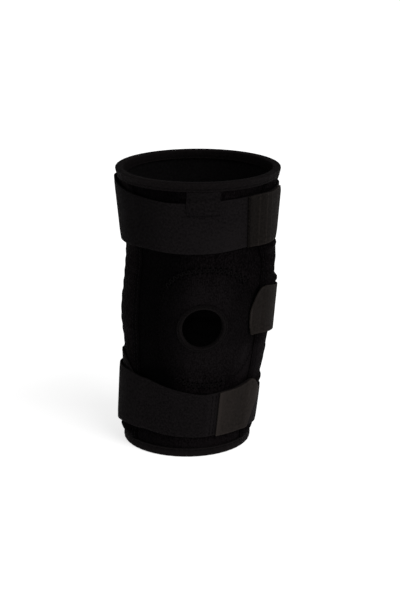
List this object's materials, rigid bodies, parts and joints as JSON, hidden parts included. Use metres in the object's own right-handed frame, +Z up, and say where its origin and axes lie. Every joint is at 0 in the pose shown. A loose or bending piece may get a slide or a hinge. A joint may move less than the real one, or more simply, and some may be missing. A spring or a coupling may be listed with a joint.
{
  "type": "hinged knee brace",
  "caption": "Padded knee brace: a hollow sleeve with an open patella, bound rims, side pockets with hinged stays, and straps with fastening tabs over the thigh, knee and calf.",
  "frame": {"origin": "on the surface that the brace stands on, under the middle of its box", "axes": "+Z up along the leg, -Y to the front where the patella hole is, +X to the side where the tabs close"},
  "size_m": [0.1516, 0.15, 0.259],
  "materials": {
    "sleeve_cloth": "matte",
    "panel_cloth": "matte",
    "binding_tape": "matte",
    "strap_cloth": "matte",
    "tab_cloth": "satin",
    "stay_metal": "satin"
  },
  "bodies": {
    "root": {"sleeve": "sleeve_cloth", "patella_panel": "panel_cloth", "patella_binding": "binding_tape", "top_binding": "binding_tape", "bottom_binding": "binding_tape", "hinge_pocket_left": "sleeve_cloth", "hinge_pocket_right": "sleeve_cloth", "hinge_stay_left": "stay_metal", "hinge_stay_right": "stay_metal", "upper_strap": "strap_cloth", "upper_tab": "tab_cloth", "middle_strap": "strap_cloth", "middle_tab": "tab_cloth", "lower_strap": "strap_cloth", "lower_tab": "tab_cloth", "lower_strap_anchor": "strap_cloth", "label_patch": "strap_cloth"}
  },
  "joints": []
}
